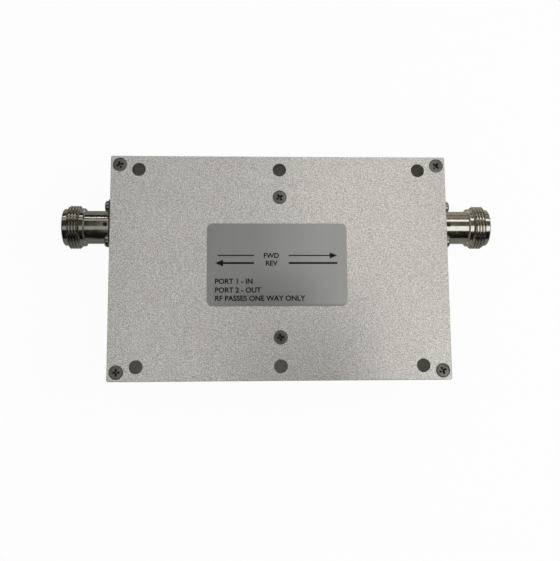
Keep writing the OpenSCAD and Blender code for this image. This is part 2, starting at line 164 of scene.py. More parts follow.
class Graph:
    """The node tree of one material or world, with short ways to add to it."""

    def __init__(self, tree: bpy.types.NodeTree) -> None:
        """Empty the tree and keep it."""
        tree.nodes.clear()
        self.tree = tree

    def node(
        self,
        kind: str,
        settings: Optional[dict[str, object]] = None,
        inputs: Optional[dict[Union[str, int], object]] = None,
    ) -> bpy.types.Node:
        """Add a node.

        Args:
            kind: The node's type name.
            settings: Properties to set first.
            inputs: Values or wires for the node's sockets, by name or number.

        Returns:
            The new node.
        """
        made = self.tree.nodes.new(kind)
        for key, value in (settings or {}).items():
            setattr(made, key, value)
        for key, value in (inputs or {}).items():
            if isinstance(value, Wire):
                self.tree.links.new(value.socket, made.inputs[key])
            else:
                made.inputs[key].default_value = value
        return made

    def out(self, node: bpy.types.Node, name: Union[str, int] = 0) -> Wire:
        """Wrap one of a node's outputs."""
        return Wire(self, node.outputs[name])

    def maths(self, operation: str, *terms: Term) -> Wire:
        """Add a Math node.

        Args:
            operation: The Math node's operation.
            terms: One or two values.

        Returns:
            The result.
        """
        inputs = dict(enumerate(terms))
        return self.out(self.node("ShaderNodeMath", {"operation": operation}, inputs))

    def blend(self, factor: Term, low: Union[Wire, Colour], high: Union[Wire, Colour]) -> Wire:
        """Mix two colours.

        Args:
            factor: 0 for the first colour, 1 for the second.
            low: The first colour.
            high: The second colour.

        Returns:
            The mixed colour.
        """
        ends = [value if isinstance(value, Wire) else (*value, 1.0) for value in (low, high)]
        made = self.node("ShaderNodeMix", {"data_type": "RGBA"}, {0: factor, 6: ends[0], 7: ends[1]})
        return self.out(made, 2)

    def place(self) -> Wire:
        """Give the surface's place in the object's own coordinates, in metres."""
        return self.out(self.node("ShaderNodeTexCoord"), "Object")

    def axes(self, vector: Wire) -> tuple[Wire, Wire, Wire]:
        """Split a vector into its three numbers."""
        split = self.node("ShaderNodeSeparateXYZ", inputs={0: vector})
        return self.out(split, 0), self.out(split, 1), self.out(split, 2)

    def noise(self, place: Wire, grain_mm: float, detail: float, stretch: Point = (1.0, 1.0, 1.0)) -> Wire:
        """Add noise of a stated grain.

        Args:
            place: The coordinates that it reads, in metres.
            grain_mm: The size of one grain.
            detail: How many finer layers it has.
            stretch: How many times finer the grain is along each axis.

        Returns:
            Values from 0 to 1, mostly near the middle.
        """
        mapped = self.node("ShaderNodeMapping", inputs={"Vector": place, "Scale": stretch})
        inputs = {"Vector": self.out(mapped), "Scale": 1.0 / (grain_mm * MM), "Detail": detail}
        return self.out(self.node("ShaderNodeTexNoise", {"noise_dimensions": "3D"}, inputs))

    def bump(self, height: Wire, depth_mm: float, strength: float) -> Wire:
        """Turn heights into a normal.

        Args:
            height: Values from 0 to 1.
            depth_mm: What a height of 1 stands for.
            strength: How much of it shows.

        Returns:
            The normal.
        """
        inputs = {"Height": height, "Distance": depth_mm * MM, "Strength": strength}
        return self.out(self.node("ShaderNodeBump", inputs=inputs))

    def end(self, shader: bpy.types.Node) -> None:
        """Make a shader the material's surface."""
        self.node("ShaderNodeOutputMaterial", inputs={"Surface": self.out(shader)})

    def surface(self, inputs: dict[Union[str, int], object]) -> None:
        """End a material in a Principled shader with these inputs."""
        self.end(self.node("ShaderNodeBsdfPrincipled", inputs=inputs))


def new_material(name: str) -> tuple[bpy.types.Material, Graph]:
    """Start a material.

    Args:
        name: The material's name.

    Returns:
        The material and its empty node tree.
    """
    made = bpy.data.materials.new(name)
    made.use_nodes = True
    return made, Graph(made.node_tree)


# Finishes


@dataclass(frozen=True)
class Finish(ABC):
    """A surface finish that becomes one material."""

    name: str
    colour: Colour

    def material(self) -> bpy.types.Material:
        """Make the finish's material.

        Returns:
            The material, ready to be put on a piece.
        """
        made, graph = new_material(self.name)
        made.diffuse_color = (*self.colour, 1.0)
        self.paint(graph)
        return made

    @abstractmethod
    def paint(self, graph: Graph) -> None:
        """Fill the material's nodes."""

    def shade(self, share: float) -> Colour:
        """Give the finish's colour times a share."""
        red, green, blue = self.colour
        return red * share, green * share, blue * share

    def shades(self, graph: Graph, factor: Term, shares: Pair) -> Wire:
        """Mix two shades of the finish's colour.

        Args:
            graph: The material's node tree.
            factor: 0 for the first shade, 1 for the second.
            shares: What the colour is multiplied by for each shade.

        Returns:
            The mixed colour.
        """
        low, high = shares
        return graph.blend(factor, self.shade(low), self.shade(high))


@dataclass(frozen=True)
class BlastedAluminium(Finish):
    """Bead-blasted aluminium, speckled by its grain, with bare holes, and painted shade on the countersinks
    and along the joint.
    """

    roughness: float = 0.36
    rough_spread: float = 0.25
    metallic: float = 0.45
    grain_mm: float = 0.31
    grain_gain: float = 2.0
    grain_contrast: float = 1.15
    pit_mm: float = 0.155
    pit_share: float = 0.4
    cloud_mm: float = 22.0
    cloud_gain: float = 0.06
    bump_mm: float = 0.03
    bump_strength: float = 0.45
    hole_wall_mm: float = 2.42
    hole_polish: float = 0.28
    hole_colour: Colour = (0.8, 0.8, 0.745)
    # Painted shade: countersink cones within this radius of a cover screw, and a band this wide round the
    # joint, take the dark colour
    sink_shade_mm: float = 2.5
    joint_mm: float = 0.1
    painted_shade_colour: Colour = (0.16, 0.155, 0.14)

    def paint(self, graph: Graph) -> None:
        """Mix the grain, broad clouds, the drilled holes, and painted shade on the countersinks and along the
        joint under the lid.

        Args:
            graph: The material's empty node tree.
        """
        place = graph.place()
        grain = graph.noise(place, self.grain_mm, detail=1.0)
        pits = graph.noise(place, self.pit_mm, detail=1.0)
        clouds = graph.noise(place, self.cloud_mm, detail=3.0)
        tone = 0.5 + grain.swing(self.grain_gain) + clouds.swing(self.cloud_gain)
        spread = self.grain_contrast / 2
        metal = self.shades(graph, tone, (1 - spread, 1 + spread))
        in_hole, in_painted_shade = self._masks(graph, place)
        metal = graph.blend(in_hole, metal, self.hole_colour)
        height = grain * (1 - self.pit_share) + pits * self.pit_share
        inputs = {
            # Painted shade on the countersinks and along the joint
            "Base Color": graph.blend(in_painted_shade, metal, self.painted_shade_colour),
            "Roughness": self.roughness + pits.swing(self.rough_spread) - in_hole * self.hole_polish,
            "Metallic": self.metallic + in_hole * (1.0 - self.metallic),
            "Normal": graph.bump(height, self.bump_mm, self.bump_strength),
        }
        graph.surface(inputs)

    def _masks(self, graph: Graph, place: Wire) -> tuple[Wire, Wire]:
        """Tell the drilled places and the places with painted shade from the rest.

        Args:
            graph: The material's node tree.
            place: The surface's place, in metres.

        Returns:
            1 on the mounting holes' walls, then 1 where shade is painted, on the countersinks and along the
            joint, and 0 elsewhere.
        """
        x, y, z = graph.axes(place)
        across, along = abs(x), abs(y)
        hole_x, hole_y = (value * MM for value in MOUNT_AT)
        corner_x, corner_y = (value * MM for value in COVER_SCREW_AT)
        hole = self._reach(across.least(abs(across - hole_x)), along - hole_y)
        corner = self._reach(across - corner_x, along - corner_y)
        middle = self._reach(across, along - COVER_SCREW_MIDDLE_Y * MM)
        # Painted shade: the countersinks round the cover screws and a thin band at the joint
        in_sink_shade = corner.least(middle) < self.sink_shade_mm * MM
        in_joint = abs(z - JOINT_Z * MM) < self.joint_mm * MM
        return hole < self.hole_wall_mm * MM, in_sink_shade.most(in_joint)

    @staticmethod
    def _reach(across: Wire, along: Wire) -> Wire:
        """Give the distance that two offsets make."""
        return (across * across + along * along) ** 0.5


@dataclass(frozen=True)
class LabelFoil(Finish):
    """Satin grey foil with faint rolling streaks."""

    roughness: float = 0.4
    rough_spread: float = 0.08
    metallic: float = 0.7
    streak_mm: float = 9.0
    streak_stretch: Point = (2.5, 0.25, 1.0)
    streak_gain: float = 0.9
    speck_mm: float = 0.3
    speck_gain: float = 0.4
    contrast: Pair = (0.93, 1.07)
    bump_mm: float = 0.01
    bump_strength: float = 0.15

    def paint(self, graph: Graph) -> None:
        """Mix fine specks and long streaks.

        Args:
            graph: The material's empty node tree.
        """
        place = graph.place()
        streaks = graph.noise(place, self.streak_mm, detail=2.0, stretch=self.streak_stretch)
        specks = graph.noise(place, self.speck_mm, detail=1.0)
        tone = 0.5 + streaks.swing(self.streak_gain) + specks.swing(self.speck_gain)
        inputs = {
            "Base Color": self.shades(graph, tone, self.contrast),
            "Roughness": self.roughness + specks.swing(self.rough_spread),
            "Metallic": self.metallic,
            "Normal": graph.bump(specks, self.bump_mm, self.bump_strength),
        }
        graph.surface(inputs)


@dataclass(frozen=True)
class PrintInk(Finish):
    """Flat black print."""

    roughness: float = 0.5
    rough_spread: float = 0.2
    film_mm: float = 0.25
    contrast: Pair = (0.8, 1.3)
    gloss: float = 0.12

    def paint(self, graph: Graph) -> None:
        """Give the ink a slightly uneven film.

        Args:
            graph: The material's empty node tree.
        """
        film = graph.noise(graph.place(), self.film_mm, detail=2.0)
        inputs = {
            "Base Color": self.shades(graph, film, self.contrast),
            "Roughness": self.roughness + film.swing(self.rough_spread),
            "Specular IOR Level": self.gloss,
        }
        graph.surface(inputs)


@dataclass(frozen=True)
class PlatedMetal(Finish):
    """Plated or plain metal with turning marks, smears, a little tarnish and, in some kinds, painted shade.
    """

    roughness: float = 0.2
    rough_spread: float = 0.12
    metallic: float = 1.0
    tarnish: float = 0.25
    smear_mm: float = 2.2
    smear_gain: float = 1.4
    lines_mm: float = 0.05
    line_stretch: Point = (1.0, 0.02, 0.02)
    line_depth_mm: float = 0.01
    line_strength: float = 0.1
    painted_shade_share: float = 0.5

    def dull(self, graph: Graph, place: Wire) -> Term:
        """Give how much painted shade darkens the metal at a place; plain plating has none."""
        return 0.0

    def paint(self, graph: Graph) -> None:
        """Mix tarnish, smears, painted shade and the fine lines that a tool leaves across the X axis.

        Args:
            graph: The material's empty node tree.
        """
        place = graph.place()
        smears = graph.noise(place, self.smear_mm, detail=3.0)
        lines = graph.noise(place, self.lines_mm, detail=1.0, stretch=self.line_stretch)
        metal = self.shades(graph, 0.5 + smears.swing(self.smear_gain), (1 - self.tarnish, 1.0))
        inputs = {
            # Painted shade: the colour falls towards a share of the plating's colour wherever the shade mask
            # is 1
            "Base Color": graph.blend(self.dull(graph, place), metal, self.shade(self.painted_shade_share)),
            "Roughness": self.roughness + smears.swing(self.rough_spread),
            "Metallic": self.metallic,
            "Normal": graph.bump(lines, self.line_depth_mm, self.line_strength),
        }
        graph.surface(inputs)


@dataclass(frozen=True)
class RecessedSteel(PlatedMetal):
    """Screw steel with painted shade on the walls of its cross; the floor of the cross keeps the plain
    colour.
    """

    # Painted shade darkens the cross's walls between these two heights, to this share of the colour
    shade_z_mm: Pair = (28.72, 29.66)
    painted_shade_share: float = 0.12

    def dull(self, graph: Graph, place: Wire) -> Term:
        """Tell the walls of the cross, which are painted in shade, from the rest.

        Args:
            graph: The material's node tree.
            place: The surface's place, in metres.

        Returns:
            1 between the heights where the painted shade starts and ends, and 0 elsewhere.
        """
        low, high = (height * MM for height in self.shade_z_mm)
        z = graph.axes(place)[2]
        return (z > low) * (z < high)


@dataclass(frozen=True)
class ThreadedNickel(PlatedMetal):
    """Jack plating with painted shade in the grooves of the coupling thread."""

    crest_mm: float = 7.9
    groove_mm: float = 0.5
    thread_x_mm: Pair = (72.5, 77.2)
    # Painted shade at the thread's root darkens the plating to this share of its colour
    painted_shade_share: float = 0.55

    def dull(self, graph: Graph, place: Wire) -> Term:
        """Tell the thread's grooves, which are painted in shade, from its crests.

        Args:
            graph: The material's node tree.
            place: The surface's place, in metres.

        Returns:
            0 at the thread's crest, rising to 1 at its root, and 0 off the thread.
        """
        x, y, z = graph.axes(place)
        across, up = y - JACK_AXIS[0] * MM, z - JACK_AXIS[1] * MM
        below = (self.crest_mm * MM - (across * across + up * up) ** 0.5) / (self.groove_mm * MM)
        along = abs(x)
        threaded = (along > self.thread_x_mm[0] * MM) * (along < self.thread_x_mm[1] * MM)
        return below.most(0.0).least(1.0) * threaded


@dataclass(frozen=True)
class GrainyBody(Finish):
    """A body of one stuff, whose grain shows in its colour, its gloss and its relief."""

    roughness: float = 0.45
    rough_spread: float = 0.3
    grain_mm: float = 0.4
    detail: float = 3.0
    contrast: Pair = (0.75, 1.2)
    bump_mm: float = 0.02
    bump_strength: float = 0.3

    def paint(self, graph: Graph) -> None:
        """Mix the grain and its pits.

        Args:
            graph: The material's empty node tree.
        """
        grain = graph.noise(graph.place(), self.grain_mm, self.detail)
        inputs = {
            "Base Color": self.shades(graph, grain, self.contrast),
            "Roughness": self.roughness + grain.swing(self.rough_spread),
            "Normal": graph.bump(grain, self.bump_mm, self.bump_strength),
        }
        graph.surface(inputs)


@dataclass(frozen=True)
class FiredCeramic(GrainyBody):
    """Ground ferrite, magnet, capacitor and resistor bodies, with a sandy grain."""


@dataclass(frozen=True)
class CastEpoxy(GrainyBody):
    """Black epoxy, a little cloudy from its filler."""

    roughness: float = 0.6
    rough_spread: float = 0.2
    grain_mm: float = 0.3
    detail: float = 2.0
    contrast: Pair = (0.7, 1.4)
    bump_strength: float = 0.2


@dataclass(frozen=True)
class TurnedPlastic(Finish):
    """Machined insulator plastic with a waxy surface."""

    roughness: float = 0.42
    rough_spread: float = 0.15
    wax_mm: float = 1.5
    contrast: Pair = (0.92, 1.0)
    mark_mm: float = 0.12
    mark_stretch: Point = (1.0, 0.05, 0.05)
    mark_depth_mm: float = 0.01
    mark_strength: float = 0.2
    glow_share: float = 0.15
    glow_depth_mm: float = 0.5

    def paint(self, graph: Graph) -> None:
        """Mix a waxy cloud and the marks of the tool.

        Args:
            graph: The material's empty node tree.
        """
        place = graph.place()
        wax = graph.noise(place, self.wax_mm, detail=2.0)
        marks = graph.noise(place, self.mark_mm, detail=1.0, stretch=self.mark_stretch)
        inputs = {
            "Base Color": self.shades(graph, wax, self.contrast),
            "Roughness": self.roughness + wax.swing(self.rough_spread),
            "Normal": graph.bump(marks, self.mark_depth_mm, self.mark_strength),
            "Subsurface Weight": self.glow_share,
            "Subsurface Scale": self.glow_depth_mm * MM,
        }
        graph.surface(inputs)


FINISHES: dict[str, Finish] = {
    finish.name: finish
    for finish in (
        BlastedAluminium("case_aluminium", (0.628, 0.608, 0.58), sink_shade_mm=0.0),
        BlastedAluminium("lid_aluminium", (0.669, 0.646, 0.615)),
        LabelFoil("label_foil", (0.382, 0.381, 0.381)),
        PrintInk("label_ink", (0.007, 0.007, 0.008)),
        RecessedSteel("cover_screw_steel", (0.2, 0.196, 0.182), roughness=0.3, metallic=0.65),
        ThreadedNickel("jack_nickel", (0.60, 0.57, 0.51), roughness=0.15),
        PlatedMetal("flange_screw_steel", (0.47, 0.46, 0.43), roughness=0.15),
        TurnedPlastic("bead_plastic", (0.86, 0.86, 0.83)),
        PlatedMetal("contact_gold", (0.80, 0.58, 0.25), roughness=0.24, tarnish=0.15),
        CastEpoxy("stake_epoxy", (0.012, 0.011, 0.01)),
        PlatedMetal("pole_steel", (0.48, 0.48, 0.47), roughness=0.3),
        FiredCeramic("magnet_ceramic", (0.06, 0.06, 0.065)),
        TurnedPlastic("ring_plastic", (0.78, 0.76, 0.69)),
        PlatedMetal("plate_silver", (0.80, 0.79, 0.75), roughness=0.28, tarnish=0.15),
        FiredCeramic("ferrite_ceramic", (0.045, 0.04, 0.04), roughness=0.35),
        PlatedMetal("conductor_silver", (0.82, 0.81, 0.76), roughness=0.25, tarnish=0.15),
        FiredCeramic("capacitor_ceramic", (0.45, 0.33, 0.21)),
        PlatedMetal("load_copper", (0.72, 0.40, 0.26), roughness=0.33),
        FiredCeramic("load_ceramic", (0.80, 0.79, 0.75), roughness=0.4),
        PlatedMetal("load_screw_steel", (0.52, 0.52, 0.51), roughness=0.28),
    )
}


class Paintshop:
    """Makes each finish's material once, and hands it out by slot."""

    def __init__(self, finishes: dict[str, Finish]) -> None:
        """Keep the finishes, with no material made yet."""
        self.finishes = finishes
        self.made: dict[str, bpy.types.Material] = {}

    def material(self, slot: str) -> bpy.types.Material:
        """Give a slot's material.

        Args:
            slot: The record's name for the material.

        Returns:
            The material, made at its first use.
        """
        if slot not in self.made:
            self.made[slot] = self.finishes[slot].material()
        return self.made[slot]

    def coat(self, piece: bpy.types.Object, slot: str) -> None:
        """Put a slot's material on all of a piece."""
        piece.data.materials.clear()
        piece.data.materials.append(self.material(slot))


# Mesh helpers


def new_object(name: str, data: bpy.types.ID) -> bpy.types.Object:
    """Put a mesh, a lamp, a curve or a camera into the scene.

    Args:
        name: The object's name.
        data: What it shows.

    Returns:
        The object, at the origin.
    """
    made = bpy.data.objects.new(name, data)
    bpy.context.scene.collection.objects.link(made)
    return made


def evaluated(source: bpy.types.Object) -> bpy.types.Object:
    """Give an object as it is with its modifiers or its curve worked out."""
    bpy.context.view_layer.update()
    return source.evaluated_get(bpy.context.evaluated_depsgraph_get())


def to_mesh(solid: bmesh.types.BMesh, name: str) -> bpy.types.Mesh:
    """Turn a bmesh into a mesh.

    Args:
        solid: The bmesh; it is freed.
        name: The mesh's name.

    Returns:
        The mesh.
    """
    mesh = bpy.data.meshes.new(name)
    solid.to_mesh(mesh)
    solid.free()
    return mesh


def cut_away(body: bmesh.types.BMesh, cutter: bmesh.types.BMesh) -> bmesh.types.BMesh:
    """Cut one solid out of another.

    Args:
        body: The solid that is cut; it is freed.
        cutter: The solid that is taken away; it is freed.

    Returns:
        What is left.
    """
    holders = []
    for solid in (body, cutter):
        bmesh.ops.recalc_face_normals(solid, faces=solid.faces)
        holders.append(new_object("cut", to_mesh(solid, "cut")))
    modifier = holders[0].modifiers.new("cut", "BOOLEAN")
    modifier.operation = "DIFFERENCE"
    modifier.solver = "EXACT"
    modifier.object = holders[1]
    result = evaluated(holders[0])
    left = bmesh.new()
    left.from_mesh(result.to_mesh())
    result.to_mesh_clear()
    for holder in holders:
        mesh = holder.data
        bpy.data.objects.remove(holder)
        bpy.data.meshes.remove(mesh)
    return left


def copies(one: bmesh.types.BMesh, places: Iterable[Matrix]) -> bmesh.types.BMesh:
    """Copy a solid to some places.

    Args:
        one: The solid; it is freed.
        places: Where each copy goes.

    Returns:
        The copies in one bmesh.
    """
    pattern = to_mesh(one, "pattern")
    group = bmesh.new()
    for place in places:
        mesh = pattern.copy()
        mesh.transform(place)
        group.from_mesh(mesh)
        bpy.data.meshes.remove(mesh)
    bpy.data.meshes.remove(pattern)
    return group


def turned(profile: Sequence[Pair], steps: int) -> bmesh.types.BMesh:
    """Turn an outline round the Z axis.

    Args:
        profile: Radius and height of each point, in order.
        steps: How many flats go round.

    Returns:
        The turned skin, closed where the outline starts and ends on the axis.
    """
    skin = bmesh.new()
    points = [skin.verts.new((radius, 0.0, height)) for radius, height in profile]
    edges = [skin.edges.new(pair) for pair in zip(points, points[1:])]
    bmesh.ops.spin(
        skin,
        geom=points + edges,
        cent=(0, 0, 0),
        axis=(0, 0, 1),
        dvec=(0, 0, 0),
        angle=2 * math.pi,
        steps=steps,
        use_merge=True,
        use_duplicate=False,
    )
    bmesh.ops.remove_doubles(skin, verts=skin.verts, dist=MERGE_MM)
    bmesh.ops.recalc_face_normals(skin, faces=skin.faces)
    return skin


def rectangle(across: Pair, along: Pair) -> list[Pair]:
    """Give the corners of a rectangle, in order, from its two ranges."""
    (left, right), (low, high) = across, along
    return [(left, low), (right, low), (right, high), (left, high)]


def lift(solid: bmesh.types.BMesh, grown: dict[str, list], height: float) -> None:
    """Move what an extrusion made along Z.

    Args:
        solid: The mesh.
        grown: What the extrusion gave back.
        height: How far it moves.
    """
    verts = [part for part in grown["geom"] if isinstance(part, bmesh.types.BMVert)]
    bmesh.ops.translate(solid, vec=(0, 0, height), verts=verts)


def round_off(
    solid: bmesh.types.BMesh,
    geom: Iterable[Union[bmesh.types.BMVert, bmesh.types.BMEdge]],
    offset: float,
    segments: int = 2,
    affect: str = "EDGES",
) -> None:
    """Round some edges of a solid, or some corners of a flat outline.

    Args:
        solid: The mesh.
        geom: The edges or corners to round.
        offset: How far the rounding reaches from each of them.
        segments: How many flats it has.
        affect: Whether edges or vertices are rounded, as the bevel operator spells it.
    """
    bmesh.ops.bevel(
        solid,
        geom=list(geom),
        offset=offset,
        offset_type="OFFSET",
        segments=segments,
        profile=0.5,
        affect=affect,
        material=-1,
    )


def finish_piece(
    solid: bmesh.types.BMesh,
    name: str,
    slot: str,
    shop: Paintshop,
    replaces: Optional[str] = None,
) -> bpy.types.Object:
    """Turn a bmesh in millimetres into a piece of the object.

    Args:
        solid: The bmesh, in place; it is freed.
        name: The piece's name.
        slot: The record's material slot.
        shop: Where its material comes from.
        replaces: The node that the piece stands for, if any.

    Returns:
        The piece, riding on the body.
    """
    bmesh.ops.remove_doubles(solid, verts=solid.verts, dist=MERGE_MM)
    bmesh.ops.recalc_face_normals(solid, faces=solid.faces)
    solid.transform(Matrix.Scale(MM, 4))
    mesh = to_mesh(solid, name)
    mesh.shade_smooth()
    mesh.set_sharp_from_angle(angle=SMOOTH_ANGLE)
    piece = new_object(name, mesh)
    shop.coat(piece, slot)
    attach(piece, BODY)
    if replaces:
        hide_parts(replaces)
    LOG.info("%s: %d faces", name, len(mesh.polygons))
    return piece


# Screws


@dataclass
class CrossRecess:
    """The cross that a driver goes into: two blades that taper towards the screw's axis."""

    span: float = 2.7
    blade: float = 0.7
    depth: float = 1.2
    taper: float = 0.2
    step: float = 0.03

    def blades(self, top: float) -> list[bmesh.types.BMesh]:
        """Make the two solids that are cut out of a screw's head.

        Args:
            top: The height of the head's face.

        Returns:
            The blades, each across the other.
        """
        made = []
        for turn, depth in ((0.0, self.depth), (math.pi / 2, self.depth + self.step)):
            blade = bmesh.new()
            bmesh.ops.create_cube(blade, size=2.0)
            for vert in blade.verts:
                vert.co.x *= self.taper if vert.co.z < 0 else 2 - self.taper
            shape = Matrix.Diagonal((self.span / 2, self.blade / 2, depth, 1.0))
            place = Matrix.Translation((0, 0, top)) @ Matrix.Rotation(turn, 4, "Z")
            bmesh.ops.transform(blade, matrix=place @ shape, verts=blade.verts)
            made.append(blade)
        return made


@dataclass
class MachineScrew(ABC):
    """A small screw on the Z axis, with the plane that it is placed by at z = 0."""

    shank_r: float
    head_r: float
    length: float
    recess: CrossRecess = field(default_factory=CrossRecess)
    flats: int = 48

    @abstractmethod
    def head(self) -> list[Pair]:
        """Give the radius and height of each point of the head's outline, from its middle to the shank."""

    def build(self) -> bmesh.types.BMesh:
        """Turn the screw and cut its recess.

        Returns:
            The screw's mesh, in millimetres.
        """
        points = self.head()
        shank = [(self.shank_r, -self.length), (0.0, -self.length)]
        screw = turned(points + shank, self.flats)
        for blade in self.recess.blades(points[0][1]):
            screw = cut_away(screw, blade)
        return screw

    @staticmethod
    def seat(spot: Pair, height: float, turn_deg: float) -> Matrix:
        """Give the place of a screw on a level face, with the turn of its cross."""
        return Matrix.Translation((*spot, height)) @ Matrix.Rotation(math.radians(turn_deg), 4, "Z")


@dataclass
class CountersunkScrew(MachineScrew):
    """A cover screw, placed by its head's face, with a rim that slopes in shares of its length and height."""

    rim_l: float = 0.42
    rim_h: float = 0.15
    rim_curve: Sequence[Pair] = ((1.15, 0.0), (0.85, 0.15), (0.1, 0.8), (0.0, 1.0))

    def head(self) -> list[Pair]:
        """Give the outline of a flat head with a sloping rim and a cone under it.

        Returns:
            The radius and height of each point.
        """
        rim = [(self.head_r - inward * self.rim_l, -down * self.rim_h) for inward, down in self.rim_curve]
        cone_end = -self.rim_h - (self.head_r - self.shank_r)
        return [(0.0, 0.0), *rim, (self.shank_r, cone_end)]


@dataclass
class PanScrew(MachineScrew):
    """A flange screw, placed by the underside of its head."""

    head_h: float = 1.6
    edge_r: float = 1.0
    edge_turns_deg: Sequence[int] = (85, 68, 51, 34, 17, 0)
    crown: float = 0.12
    crown_bend: Pair = (0.5, 0.25)
    foot: float = 0.08

    def head(self) -> list[Pair]:
        """Give the outline of a low crown with a round edge.

        Returns:
            The radius and height of each point.
        """
        centre_r = self.head_r - self.edge_r
        centre_z = self.head_h - self.crown - self.edge_r
        out, down = self.crown_bend
        points = [(0.0, self.head_h), (out * centre_r, self.head_h - down * self.crown)]
        for turn in self.edge_turns_deg:
            angle = math.radians(turn)
            across, up = self.edge_r * math.cos(angle), self.edge_r * math.sin(angle)
            points.append((centre_r + across, centre_z + up))
        return points + [(self.head_r, self.foot), (self.head_r - self.foot, 0.0), (self.shank_r, 0.0)]


@dataclass
class CoverScrews:
    """The six screws that hold the lid."""

    face_z: float = 29.85
    corner: Pair = COVER_SCREW_AT
    middle_y: float = COVER_SCREW_MIDDLE_Y
    turns_deg: Sequence[float] = (20.0, 50.0, 0.0, 25.0, 35.0, 10.0)
    screw: MachineScrew = field(default_factory=lambda: CountersunkScrew(1.25, 2.35, 9.9))

    def build(self, shop: Paintshop) -> bpy.types.Object:
        """Make the screws as one piece.

        Args:
            shop: Where the finish comes from.

        Returns:
            The piece that stands for the solid screws.
        """
        x, y = self.corner
        spots = [(-x, y), (x, y), (-x, -y), (x, -y), (0.0, self.middle_y), (0.0, -self.middle_y)]
        places = [self.screw.seat(spot, self.face_z, turn) for spot, turn in zip(spots, self.turns_deg)]
        group = copies(self.screw.build(), places)
        return finish_piece(group, "cover_screws_cross", "cover_screw_steel", shop, "cover_screws")


# Jacks


@dataclass
class JackSizes:
    """A jack's sizes in millimetres, outwards from the case's end face."""

    reach: float = 18.9
    flange: float = 17.5
    flange_t: float = 1.6
    flange_r: float = 0.8
    screw_pitch: float = 12.7
    screw_hole_r: float = 1.4
    barrel_r: float = 6.1
    thread_r: float = 7.9375
    thread_l: float = 3.7
    thread_lead: float = 0.5
    thread_pitch: float = 1.0583
    thread_depth: float = 0.52
    lip_r: float = 6.8
    lip_l: float = 1.7
    lip_chamfer: float = 0.4
    ring_r: float = 7.05
    ring_l: float = 1.4
    ring_lead: float = 0.3
    mouth_r: float = 4.3
    mouth_chamfer: float = 0.3
    mouth_depth: float = 9.2
    bead_r: float = 3.5
    stake_r: float = 0.8
    stake_u: float = 3.2
    case_half: float = 60.0
    axis: Pair = JACK_AXIS

    @property
    def lip_u(self) -> float:
        """Station where the lip meets the thread's front chamfer."""
        return self.reach - self.lip_l

    @property
    def ring_front(self) -> float:
        """Station where the thread's back chamfer meets the plain ring."""
        return self.lip_u - self.thread_l - 2 * self.thread_lead

    @property
    def ring_back(self) -> float:
        """Station of the plain ring's back end."""
        return self.ring_front - self.ring_l

    @property
    def barrel_u(self) -> float:
        """Station where the barrel meets the ring's cone."""
        return self.ring_back - self.ring_lead

    @property
    def shoulder_u(self) -> float:
        """Station of the mating shoulder inside the mouth."""
        return self.reach - self.mouth_depth

    def frame(self, side: Side) -> Matrix:
        """Give the jack's place: its Z points out of the case and its X points up.

        Args:
            side: Which end of the case.

        Returns:
            The matrix from the jack's frame to the object's, in millimetres.
        """
        way = side.value
        turn = Matrix(((0, 0, way, 0), (0, -way, 0, 0), (1, 0, 0, 0), (0, 0, 0, 1)))
        return Matrix.Translation((way * self.case_half, *self.axis)) @ turn

    def screw_spots(self) -> list[Pair]:
        """Give the four screws' places on the flange."""
        half = self.screw_pitch / 2
        return [(x, y) for x in (-half, half) for y in (-half, half)]


